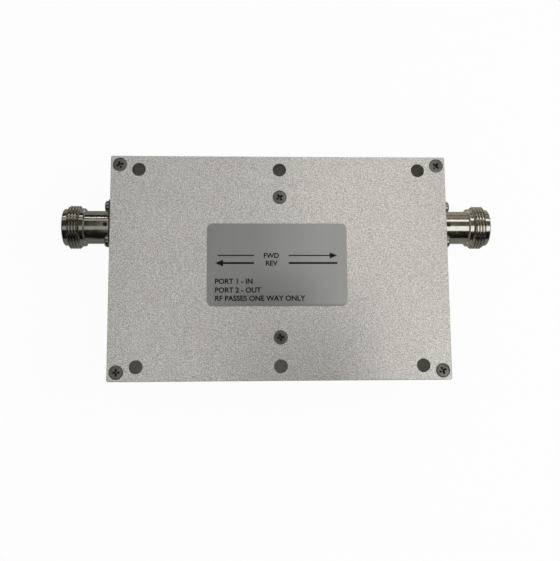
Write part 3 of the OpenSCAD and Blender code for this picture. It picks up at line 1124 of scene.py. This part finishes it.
@dataclass
class JackShell:
    """A nickel-plated jack body: square flange, barrel, ring, coupling thread and lip."""

    side: Side
    sizes: JackSizes = field(default_factory=JackSizes)
    flats: int = 144
    rings_per_pitch: int = 16
    crest_end: float = 0.34
    root_start: float = 0.86
    hole_flats: int = 32
    corner_flats: int = 5
    round_edge: float = 0.12
    nip: float = 0.036
    stake_over: float = 0.7
    stake_under: float = 0.3

    def build(self, shop: Paintshop) -> bpy.types.Object:
        """Make the shell.

        Args:
            shop: Where the finish comes from.

        Returns:
            The piece that stands for the solid shell.
        """
        shell = turned(self._outline(), self.flats)
        self._cut_thread(shell)
        self._add_flange(shell)
        shell = cut_away(shell, self._stake_hole())
        bmesh.ops.transform(shell, matrix=self.sizes.frame(self.side), verts=shell.verts)
        node = f"{self.side.label}_jack_shell"
        return finish_piece(shell, f"{node}_threaded", "jack_nickel", shop, node)

    def _outline(self) -> list[Pair]:
        """Give the turned outline, from the flange's face round the mouth to the flange's back.

        Returns:
            The radius and station of each point.
        """
        jack = self.sizes
        soft, nip = self.round_edge, self.nip
        cone = jack.ring_lead / (jack.ring_r - jack.barrel_r)
        flat_r = jack.lip_r - jack.lip_chamfer
        edge_r = jack.mouth_r + jack.mouth_chamfer
        return [
            (jack.barrel_r, jack.flange_t),
            (jack.barrel_r, jack.barrel_u),
            (jack.ring_r - soft, jack.ring_back - soft * cone),
            (jack.ring_r, jack.ring_back + soft),
            (jack.ring_r, jack.ring_front),
            *self._thread_outline(),
            (jack.lip_r, jack.lip_u),
            (jack.lip_r, jack.reach - jack.lip_chamfer - soft),
            (jack.lip_r - nip, jack.reach - jack.lip_chamfer + nip),
            (flat_r + nip, jack.reach - nip),
            (flat_r - soft, jack.reach),
            (edge_r + soft / 2, jack.reach),
            (edge_r - nip, jack.reach - nip),
            (jack.mouth_r, jack.reach - jack.mouth_chamfer - soft),
            (jack.mouth_r, jack.shoulder_u),
            (jack.bead_r, jack.shoulder_u),
            (jack.bead_r, 0.0),
        ]

    def _thread_outline(self) -> list[Pair]:
        """Give the thread's envelope: its back chamfer, crest and front chamfer, in fine steps.

        Returns:
            The radius and station of each point.
        """
        jack = self.sizes
        length = jack.lip_u - jack.ring_front
        count = int(length * self.rings_per_pitch / jack.thread_pitch)
        points = []
        for index in range(1, count):
            along = length * index / count
            back = jack.ring_r + along * (jack.thread_r - jack.ring_r) / jack.thread_lead
            front = jack.lip_r + (length - along) * (jack.thread_r - jack.lip_r) / jack.thread_lead
            points.append((min(jack.thread_r, back, front), jack.ring_front + along))
        return points

    def _cut_thread(self, shell: bmesh.types.BMesh) -> None:
        """Press a right-hand helical groove into the thread's envelope.

        Args:
            shell: The turned skin, in the jack's own frame.
        """
        jack = self.sizes
        inside_r = (jack.mouth_r + jack.lip_r) / 2
        for vert in shell.verts:
            radius = math.hypot(vert.co.x, vert.co.y)
            if not jack.ring_front < vert.co.z < jack.lip_u or radius < inside_r:
                continue
            turns = vert.co.z / jack.thread_pitch - math.atan2(vert.co.y, vert.co.x) / (2 * math.pi)
            away = 2 * abs(turns - round(turns))
            height = (self.root_start - away) / (self.root_start - self.crest_end)
            groove = jack.thread_r - jack.thread_depth * (1 - min(1.0, max(0.0, height)))
            if groove < radius:
                vert.co.x *= groove / radius
                vert.co.y *= groove / radius

    def _add_flange(self, shell: bmesh.types.BMesh) -> None:
        """Close the turned skin with the square flange and its four screw holes.

        Args:
            shell: The turned skin, in the jack's own frame.
        """
        thick = self.sizes.flange_t
        open_edges = [edge for edge in shell.edges if edge.is_boundary]
        face_edges = [edge for edge in open_edges if edge.verts[0].co.z > thick / 2]
        back_edges = [edge for edge in open_edges if edge.verts[0].co.z < thick / 2]
        loops = [self._square_loop(shell)]
        loops += [self._circle_loop(shell, spot) for spot in self.sizes.screw_spots()]
        for loop in loops:
            grown = bmesh.ops.extrude_edge_only(shell, edges=loop)
            lift(shell, grown, -thick)
            face_edges += loop
            back_edges += [part for part in grown["geom"] if isinstance(part, bmesh.types.BMEdge)]
        for edges in (face_edges, back_edges):
            bmesh.ops.triangle_fill(shell, use_beauty=True, use_dissolve=False, edges=edges)
        bmesh.ops.recalc_face_normals(shell, faces=shell.faces)
        rim = [edge for edge in shell.edges if self._on_rim(edge)]
        round_off(shell, rim, self.round_edge)

    def _square_loop(self, shell: bmesh.types.BMesh) -> list[bmesh.types.BMEdge]:
        """Add the flange's outline at its face.

        Args:
            shell: The turned skin, in the jack's own frame.

        Returns:
            The outline's edges.
        """
        jack = self.sizes
        reach = (-jack.flange / 2, jack.flange / 2)
        corners = [shell.verts.new((*spot, jack.flange_t)) for spot in rectangle(reach, reach)]
        shell.faces.new(corners)
        round_off(shell, corners, jack.flange_r, self.corner_flats, affect="VERTICES")
        sheet = next(face for face in shell.faces if self._is_sheet(face))
        loop = list(sheet.edges)
        bmesh.ops.delete(shell, geom=[sheet], context="FACES_ONLY")
        return loop

    def _is_sheet(self, face: bmesh.types.BMFace) -> bool:
        """Tell whether a face is the flange's outline, the only one that reaches so far out."""
        return max(vert.co.x for vert in face.verts) > self.sizes.flange / 2 - TOLERANCE_MM

    def _circle_loop(self, shell: bmesh.types.BMesh, spot: Pair) -> list[bmesh.types.BMEdge]:
        """Add a screw hole's circle at the flange's face.

        Args:
            shell: The turned skin, in the jack's own frame.
            spot: The hole's middle.

        Returns:
            The circle's edges.
        """
        jack = self.sizes
        place = Matrix.Translation((*spot, jack.flange_t))
        made = bmesh.ops.create_circle(
            shell, cap_ends=False, radius=jack.screw_hole_r, segments=self.hole_flats, matrix=place
        )
        ring = set(made["verts"])
        return [edge for edge in shell.edges if set(edge.verts) <= ring]

    def _on_rim(self, edge: bmesh.types.BMEdge) -> bool:
        """Tell whether an edge lies on the flange's outer front edge.

        Args:
            edge: An edge of the shell.

        Returns:
            True on that edge only.
        """
        jack = self.sizes
        inside = jack.flange / 2 - jack.flange_r
        ends = [vert.co for vert in edge.verts]
        level = all(abs(end.z - jack.flange_t) < TOLERANCE_MM for end in ends)
        outside = all(max(abs(end.x), abs(end.y)) > inside for end in ends)
        return level and outside and edge.calc_face_angle(0.0) > SMOOTH_ANGLE

    def _stake_hole(self) -> bmesh.types.BMesh:
        """Make what is cut out of the barrel's top for the epoxy.

        Returns:
            The rod, in the jack's own frame.
        """
        jack = self.sizes
        top, foot = jack.barrel_r + self.stake_over, jack.bead_r - self.stake_under
        rod = bmesh.new()
        bmesh.ops.create_cone(
            rod,
            cap_ends=True,
            segments=self.hole_flats,
            radius1=jack.stake_r,
            radius2=jack.stake_r,
            depth=top - foot,
        )
        middle = Matrix.Translation(((top + foot) / 2, 0.0, jack.stake_u))
        bmesh.ops.transform(rod, matrix=middle @ Matrix.Rotation(math.pi / 2, 4, "Y"), verts=rod.verts)
        return rod


@dataclass
class FlangeScrews:
    """The four pan-head screws that hold a jack's flange to the case."""

    side: Side
    sizes: JackSizes = field(default_factory=JackSizes)
    screw: MachineScrew = field(default_factory=lambda: PanScrew(1.25, 2.2, 6.5, CrossRecess(2.5, 0.62, 1.0)))
    turns_deg: Sequence[float] = (15.0, 62.0, 38.0, 80.0)

    def build(self, shop: Paintshop) -> bpy.types.Object:
        """Make the screws as one piece.

        Args:
            shop: Where the finish comes from.

        Returns:
            The piece that stands for the solid screws.
        """
        frame = self.sizes.frame(self.side)
        spots = zip(self.sizes.screw_spots(), self.turns_deg)
        places = [frame @ self.screw.seat(spot, self.sizes.flange_t, turn) for spot, turn in spots]
        group = copies(self.screw.build(), places)
        node = f"{self.side.label}_flange_screws"
        return finish_piece(group, f"{node}_cross", "flange_screw_steel", shop, node)


# Label


@dataclass
class Arrow:
    """A straight arrow along X with a gap for a word."""

    y: float
    tail: float
    tip: float
    line: float
    head_l: float
    head_w: float
    gap: Pair = (-9.2, 3.05)

    def draw(self, sheet: bmesh.types.BMesh) -> None:
        """Add the arrow's flat faces to a sheet at z = 0.

        Args:
            sheet: The mesh that the arrow goes into.
        """
        base = self.tip - math.copysign(self.head_l, self.tip - self.tail)
        left, right = sorted((self.tail, base))
        across = (self.y - self.line / 2, self.y + self.line / 2)
        half = self.head_w / 2
        outlines = [rectangle(bar, across) for bar in ((left, self.gap[0]), (self.gap[1], right))]
        outlines.append([(self.tip, self.y), (base, self.y + half), (base, self.y - half)])
        for outline in outlines:
            sheet.faces.new([sheet.verts.new((*spot, 0.0)) for spot in outline])


@dataclass
class Words:
    """One line of plain lettering."""

    text: str
    x: float
    y: float
    cap_h: float = 1.85
    bold: float = 0.03
    centred: bool = False
    curve_steps: int = 4

    def draw(self, sheet: bmesh.types.BMesh) -> None:
        """Add the letters' flat faces to a sheet at z = 0.

        Args:
            sheet: The mesh that the letters go into.
        """
        curve = bpy.data.curves.new("words", "FONT")
        curve.body = self.text
        curve.align_x = "CENTER" if self.centred else "LEFT"
        curve.resolution_u = self.curve_steps
        curve.offset = self.bold
        holder = new_object("words", curve)
        mesh = bpy.data.meshes.new_from_object(evaluated(holder))
        scale = self.cap_h / max(vert.co.y for vert in mesh.vertices)
        mesh.transform(Matrix.Translation((self.x, self.y - self.cap_h / 2, 0.0)) @ Matrix.Scale(scale, 4))
        sheet.from_mesh(mesh)
        bpy.data.objects.remove(holder)
        bpy.data.curves.remove(curve)
        bpy.data.meshes.remove(mesh)


@dataclass
class RatingLabel:
    """The grey foil on the lid, with its arrows and plain words in black."""

    centre: Pair = (-1.0, 0.7)
    length: float = 49.5
    width: float = 29.5
    corner_r: float = 2.0
    corner_flats: int = 8
    foil_t: float = 0.135
    round_edge: float = 0.0405
    ink_t: float = 0.015
    arrows: Sequence[Arrow] = (
        Arrow(y=3.93, tail=-22.0, tip=20.3, line=0.42, head_l=2.7, head_w=2.2),
        Arrow(y=1.22, tail=20.3, tip=-22.9, line=0.68, head_l=2.8, head_w=2.4),
    )
    words: Sequence[Words] = (
        Words("FWD", -3.1, 3.93, 1.75, centred=True),
        Words("REV", -3.1, 1.22, 1.75, centred=True),
        Words("PORT 1 - IN", -23.0, -5.2),
        Words("PORT 2 - OUT", -23.0, -8.3),
        Words("RF PASSES ONE WAY ONLY", -23.0, -11.2),
    )

    def build(self, shop: Paintshop) -> list[bpy.types.Object]:
        """Make the foil and its print.

        Args:
            shop: Where the finishes come from.

        Returns:
            The two pieces.
        """
        return [
            finish_piece(self._foil(), "rating_label_foil", "label_foil", shop, "rating_label"),
            finish_piece(self._print(), "rating_label_print", "label_ink", shop),
        ]

    def _foil(self) -> bmesh.types.BMesh:
        """Make a thin plate with round corners and a soft upper edge.

        Returns:
            The foil, on the lid.
        """
        foil = bmesh.new()
        bmesh.ops.create_grid(foil, x_segments=1, y_segments=1, size=0.5)
        bmesh.ops.scale(foil, vec=(self.length, self.width, 1.0), verts=foil.verts)
        round_off(foil, foil.verts, self.corner_r, self.corner_flats, affect="VERTICES")
        lift(foil, bmesh.ops.extrude_face_region(foil, geom=foil.faces[:]), self.foil_t)
        bmesh.ops.recalc_face_normals(foil, faces=foil.faces)
        rim = [edge for edge in foil.edges if all(vert.co.z > self.foil_t / 2 for vert in edge.verts)]
        round_off(foil, rim, self.round_edge)
        bmesh.ops.translate(foil, vec=(*self.centre, LID_Z), verts=foil.verts)
        return foil

    def _print(self) -> bmesh.types.BMesh:
        """Make the arrows and the words as a thin film.

        Returns:
            The print, on the foil.
        """
        ink = bmesh.new()
        for mark in (*self.arrows, *self.words):
            mark.draw(ink)
        lift(ink, bmesh.ops.extrude_face_region(ink, geom=ink.faces[:]), self.ink_t)
        bmesh.ops.translate(ink, vec=(0, 0, LID_Z + self.foil_t), verts=ink.verts)
        return ink


# Studio


@dataclass(frozen=True)
class Lamp:
    """A soft rectangular lamp; nothing mirrors it, because the cards give the reflections."""

    name: str
    place: Point
    aim: Point
    size: Pair
    radiance: float

    def light(self) -> None:
        """Hang the lamp, with a power that gives its face the stated radiance."""
        data = bpy.data.lights.new(self.name, "AREA")
        data.shape = "RECTANGLE"
        data.size, data.size_y = self.size
        data.energy = self.radiance * math.pi * self.size[0] * self.size[1]
        holder = new_object(self.name, data)
        way = Vector(self.aim) - Vector(self.place)
        holder.location = self.place
        holder.rotation_euler = way.to_track_quat("-Z", "Y").to_euler()
        holder.visible_glossy = False


RAYS = ("camera", "diffuse", "glossy", "transmission", "volume_scatter", "shadow")


def add_to_stage(
    sheet: bmesh.types.BMesh,
    name: str,
    material: bpy.types.Material,
    seen_by: Sequence[str] = RAYS,
) -> None:
    """Make a sheet in metres part of the stage.

    Args:
        sheet: The sheet, in place; it is freed.
        name: Its name.
        material: Its material.
        seen_by: The kinds of ray that it shows to.
    """
    mesh = to_mesh(sheet, name)
    mesh.materials.append(material)
    holder = new_object(name, mesh)
    for ray in RAYS:
        setattr(holder, f"visible_{ray}", ray in seen_by)


@dataclass(frozen=True)
class Card:
    """A flat studio card that shows only to some kinds of ray, and by default only in reflections."""

    name: str
    corners: Sequence[Point]
    tone: Colour
    seen_by: Sequence[str] = ("glossy",)

    def stand(self) -> None:
        """Stand the card, shown only to its kinds of ray."""
        sheet = bmesh.new()
        sheet.faces.new([sheet.verts.new(corner) for corner in self.corners])
        material, graph = new_material(self.name)
        graph.end(graph.node("ShaderNodeEmission", inputs={"Color": (*self.tone, 1.0), "Strength": 1.0}))
        add_to_stage(sheet, self.name, material, self.seen_by)


@dataclass(frozen=True)
class Strip:
    """A long strip of the tent, between two angles that go from straight up towards the far side."""

    low_deg: float
    high_deg: float
    tone: Colour


OLIVE_DARK: Colour = (0.045, 0.044, 0.032)
OLIVE_DIM: Colour = (0.13, 0.12, 0.092)
BLACK: Colour = (0.01, 0.0095, 0.009)


@dataclass(frozen=True)
class Panel:
    """A level card close over the lid."""

    x: Pair
    y: Pair
    height: float
    tone: Colour
    seen_by: Sequence[str] = ("glossy",)

    def card(self) -> Card:
        """Give the panel as a card."""
        corners = [(*spot, self.height) for spot in rectangle(self.x, self.y)]
        return Card("tent_panel", corners, self.tone, self.seen_by)


@dataclass(frozen=True)
class Bay:
    """A stretch of the tent along X, with the strips that span it."""

    left: float
    right: float
    strips: Sequence[Strip]


@dataclass
class LightTent:
    """Strips of card over the object, which the polished jacks mirror as bright and dark bands."""

    radius: float = 1.05
    axis_y: float = JACK_AXIS[0] * MM
    axis_z: float = JACK_AXIS[1] * MM
    half_w: float = 0.8
    sheet_x: Pair = (0.061, 1.2)
    sheet_z: float = 0.0005
    end_h: float = 0.9
    front_y: float = -0.1
    front_half: float = 0.09
    front_h: float = 0.08
    ends: Sequence[tuple[float, Colour]] = ((-1.25, (0.05, 0.049, 0.042)), (1.5, (0.16, 0.155, 0.135)))
    bays: Sequence[Bay] = (
        Bay(
            -1.2,
            -0.1,
            (
                Strip(-26.5, -3, (0.47, 0.47, 0.46)),
                Strip(-3, 37, OLIVE_DARK),
                Strip(37, 48, (0.6, 0.6, 0.56)),
                Strip(48, 58.5, (0.05, 0.049, 0.04)),
                Strip(58.5, 63, (2.6, 2.6, 2.5)),
                Strip(63, 90, (0.02, 0.02, 0.016)),
                Strip(-91, -26.5, BLACK),
            ),
        ),
        Bay(
            0.22,
            1.2,
            (
                Strip(-32, 0.5, (1.6, 1.65, 1.6)),
                Strip(0.5, 36, OLIVE_DIM),
                Strip(36, 47, (2.1, 2.1, 2.03)),
                Strip(47, 69, (0.25, 0.243, 0.215)),
                Strip(69, 79, (0.5, 0.49, 0.43)),
                Strip(79, 90, (0.04, 0.038, 0.03)),
                Strip(-91, -32, BLACK),
            ),
        ),
    )
    panels: Sequence[Panel] = (
        Panel((-0.081, -0.056), (-0.1, 0.1), 0.12, (0.49, 0.49, 0.475)),
        Panel((-0.056, 0.0095), (-0.1, 0.1), 0.12, (0.38, 0.38, 0.37)),
        Panel((0.0095, 0.084), (-0.1, 0.1), 0.12, (0.75, 0.745, 0.72)),
        Panel((-0.018, 0.043), (-0.1, 0.002), 0.118, BLACK),
        Panel((0.02, 0.037), (-0.058, -0.034), 0.075, BLACK, ("diffuse", "shadow")),
    )
    # Sheets of painted shade on the floor beside the jacks, which the jacks mirror instead of the white floor
    floor_shade_tones: Sequence[tuple[Side, float, Colour]] = (
        (Side.INPUT, -1.0, (0.2, 0.2, 0.195)),
        (Side.INPUT, 1.0, (0.25, 0.248, 0.225)),
        (Side.OUTPUT, -1.0, (0.26, 0.26, 0.24)),
        (Side.OUTPUT, 1.0, (0.42, 0.4, 0.34)),
    )

    def cards(self) -> list[Card]:
        """Give the tent's cards.

        Returns:
            The strips overhead, the panels over the lid, the sheets of painted floor shade beside the jacks,
            the ends and the front.
        """
        made = [self._strip(strip, bay) for bay in self.bays for strip in bay.strips]
        made += [self._floor_shade_sheet(side, way, tone) for side, way, tone in self.floor_shade_tones]
        made += [self._end(x, tone) for x, tone in self.ends]
        made += [panel.card() for panel in self.panels]
        made.append(self._front())
        return made

    def _strip(self, strip: Strip, bay: Bay) -> Card:
        """Place one strip overhead, across its bay.

        Args:
            strip: The strip's angles and tone.
            bay: The stretch along X that it spans.

        Returns:
            The card.
        """
        corners = []
        ways = ((bay.left, bay.right), (bay.right, bay.left))
        for angle, ends in zip((strip.low_deg, strip.high_deg), ways):
            y = self.axis_y + self.radius * math.sin(math.radians(angle))
            z = self.axis_z + self.radius * math.cos(math.radians(angle))
            corners += [(x, y, z) for x in ends]
        return Card("tent_strip", corners, strip.tone)

    def _end(self, x: float, tone: Colour) -> Card:
        """Close an end of the tent with a card of a tone."""
        spots = rectangle((-self.half_w, self.half_w), (0.0, self.end_h))
        return Card("tent_end", [(x, *spot) for spot in spots], tone)

    def _front(self) -> Card:
        """Stand a low dark card in front, which the lid's near edge mirrors."""
        spots = rectangle((-self.front_half, self.front_half), (self.sheet_z, self.front_h))
        return Card("tent_front", [(x, self.front_y, z) for x, z in spots], BLACK)

    def _floor_shade_sheet(self, side: Side, way: float, tone: Colour) -> Card:
        """Lay a sheet of painted floor shade beside a jack, which only reflections show.

        Args:
            side: Which jack.
            way: -1 towards the near side, 1 towards the far side.
            tone: Its colour.

        Returns:
            The card.
        """
        inner, outer = (side.value * x for x in self.sheet_x)
        spots = rectangle((inner, outer), (self.axis_y, self.axis_y + way * self.half_w))
        return Card("tent_floor_shade", [(*spot, self.sheet_z) for spot in spots], tone)


@dataclass
class Studio:
    """Floor, backdrop, lamps, cards and the camera."""

    floor_r: float = 2.4
    floor_flats: int = 96
    floor_tone: Colour = (0.95, 0.95, 0.95)
    wall_h: float = 1.7
    footprint: Pair = (0.0597, 0.0397)
    glow: float = 0.95
    under_glow: float = 0.06
    under_glow_tint: Colour = (1.0, 0.99, 0.93)
    camera_place: Point = (-0.0126, -0.04083, 0.29886)
    camera_turn_deg: Point = (-7.594, 2.642, 0.104)
    camera_clip: Pair = (0.01, 20.0)
    focal_px: float = 771.4
    frame_px: int = 561
    sensor_mm: float = 36.0
    room: Colour = (0.45, 0.45, 0.44)
    lamps: Sequence[Lamp] = (
        Lamp("right_softbox", (0.48, -0.172, 1.0), (0.48, -0.172, 0.0), (0.85, 0.55), 1.7),
        Lamp("left_softbox", (-0.43, -0.255, 1.0), (-0.43, -0.255, 0.0), (0.95, 0.41), 0.48),
        Lamp("window", (0.45, 0.08, 0.42), (0.0, 0.0, 0.0), (0.3, 0.3), 2.6),
    )
    tent: LightTent = field(default_factory=LightTent)

    def build(self) -> None:
        """Set up the stage and the camera."""
        self._set_floor()
        self._set_room()
        for lamp in self.lamps:
            lamp.light()
        cards = self.tent.cards()
        for card in cards:
            card.stand()
        self._set_camera()
        bpy.context.scene.view_settings.view_transform = "Standard"
        LOG.info("studio: %d lamps, %d cards", len(self.lamps), len(cards))

    def _set_floor(self) -> None:
        """Lay a round pale floor with a wall round it."""
        sheet = bmesh.new()
        bmesh.ops.create_circle(sheet, cap_ends=True, radius=self.floor_r, segments=self.floor_flats)
        rim = [edge for edge in sheet.edges if edge.is_boundary]
        lift(sheet, bmesh.ops.extrude_edge_only(sheet, edges=rim), self.wall_h)
        bmesh.ops.recalc_face_normals(sheet, faces=sheet.faces)
        sheet.normal_update()
        ground = max(sheet.faces, key=lambda face: len(face.verts))
        if ground.normal.z < 0:
            bmesh.ops.reverse_faces(sheet, faces=sheet.faces)
        add_to_stage(sheet, "floor", self._floor_material())

    def _floor_material(self) -> bpy.types.Material:
        """Make a white that keeps a soft shadow, glows dimly under the case as painted light that the
        mounting holes show, and is clear from below.

        Returns:
            The floor's material.
        """
        made, graph = new_material("floor_white")
        rays = graph.node("ShaderNodeLightPath")
        seen = graph.out(rays, "Is Camera Ray")
        seen = seen.most(graph.out(rays, "Is Glossy Ray")).most(graph.out(rays, "Is Transmission Ray"))
        x, y, _ = graph.axes(graph.place())
        outside = (abs(x) > self.footprint[0]).most(abs(y) > self.footprint[1])
        # Painted light: under the case the floor glows dimly with a warm tint for camera and glossy rays,
        # seen down the mounting holes
        share = seen * (outside * (self.glow - self.under_glow) + self.under_glow)
        tint = graph.blend(outside, self.under_glow_tint, WHITE)
        matte = graph.node("ShaderNodeBsdfDiffuse", inputs={"Color": (*self.floor_tone, 1.0)})
        white = graph.node("ShaderNodeEmission", inputs={"Color": tint, "Strength": 1.0})
        clear = graph.node("ShaderNodeBsdfTransparent")
        back = graph.out(graph.node("ShaderNodeNewGeometry"), "Backfacing")
        lit = graph.node("ShaderNodeMixShader", inputs={0: share, 1: graph.out(matte), 2: graph.out(white)})
        graph.end(graph.node("ShaderNodeMixShader", inputs={0: back, 1: graph.out(lit), 2: graph.out(clear)}))
        return made

    def _set_room(self) -> None:
        """Give the room round the studio its dim even tone."""
        world = bpy.data.worlds.new("room")
        world.use_nodes = True
        graph = Graph(world.node_tree)
        dim = graph.node("ShaderNodeBackground", inputs={"Color": (*self.room, 1.0), "Strength": 1.0})
        graph.node("ShaderNodeOutputWorld", inputs={"Surface": graph.out(dim)})
        bpy.context.scene.world = world

    def _set_camera(self) -> None:
        """Place the camera over the lid, a little towards the near side and the input."""
        data = bpy.data.cameras.new("camera")
        data.sensor_width = self.sensor_mm
        data.lens = self.focal_px * self.sensor_mm / self.frame_px
        data.clip_start, data.clip_end = self.camera_clip
        turn = Matrix.Identity(3)
        for angle, axis in zip(self.camera_turn_deg, "XYZ"):
            turn = Matrix.Rotation(math.radians(angle), 3, axis) @ turn
        holder = new_object("camera", data)
        holder.matrix_world = Matrix.Translation(self.camera_place) @ turn.transposed().to_4x4()
        bpy.context.scene.camera = holder


# The whole


def coat_nodes(frame: dict, shop: Paintshop) -> None:
    """Give every node of the frame the finish of its slot.

    Args:
        shop: Where the finishes come from.
    """
    slots = {row["node"]: row["material_slot"] for row in frame["record"]["subparts"]}
    for name, piece in frame["nodes"].items():
        shop.coat(piece, slots[name])
        LOG.info("%s: %s", name, slots[name])


def main() -> None:
    """Load the frame, dress it and set the stage."""
    logging.basicConfig(level=logging.INFO, format="%(name)s %(message)s")
    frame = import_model()
    shop = Paintshop(FINISHES)
    coat_nodes(frame, shop)
    for side in Side:
        JackShell(side).build(shop)
        FlangeScrews(side).build(shop)
    CoverScrews().build(shop)
    RatingLabel().build(shop)
    Studio().build()


if __name__ == "__main__":
    main()
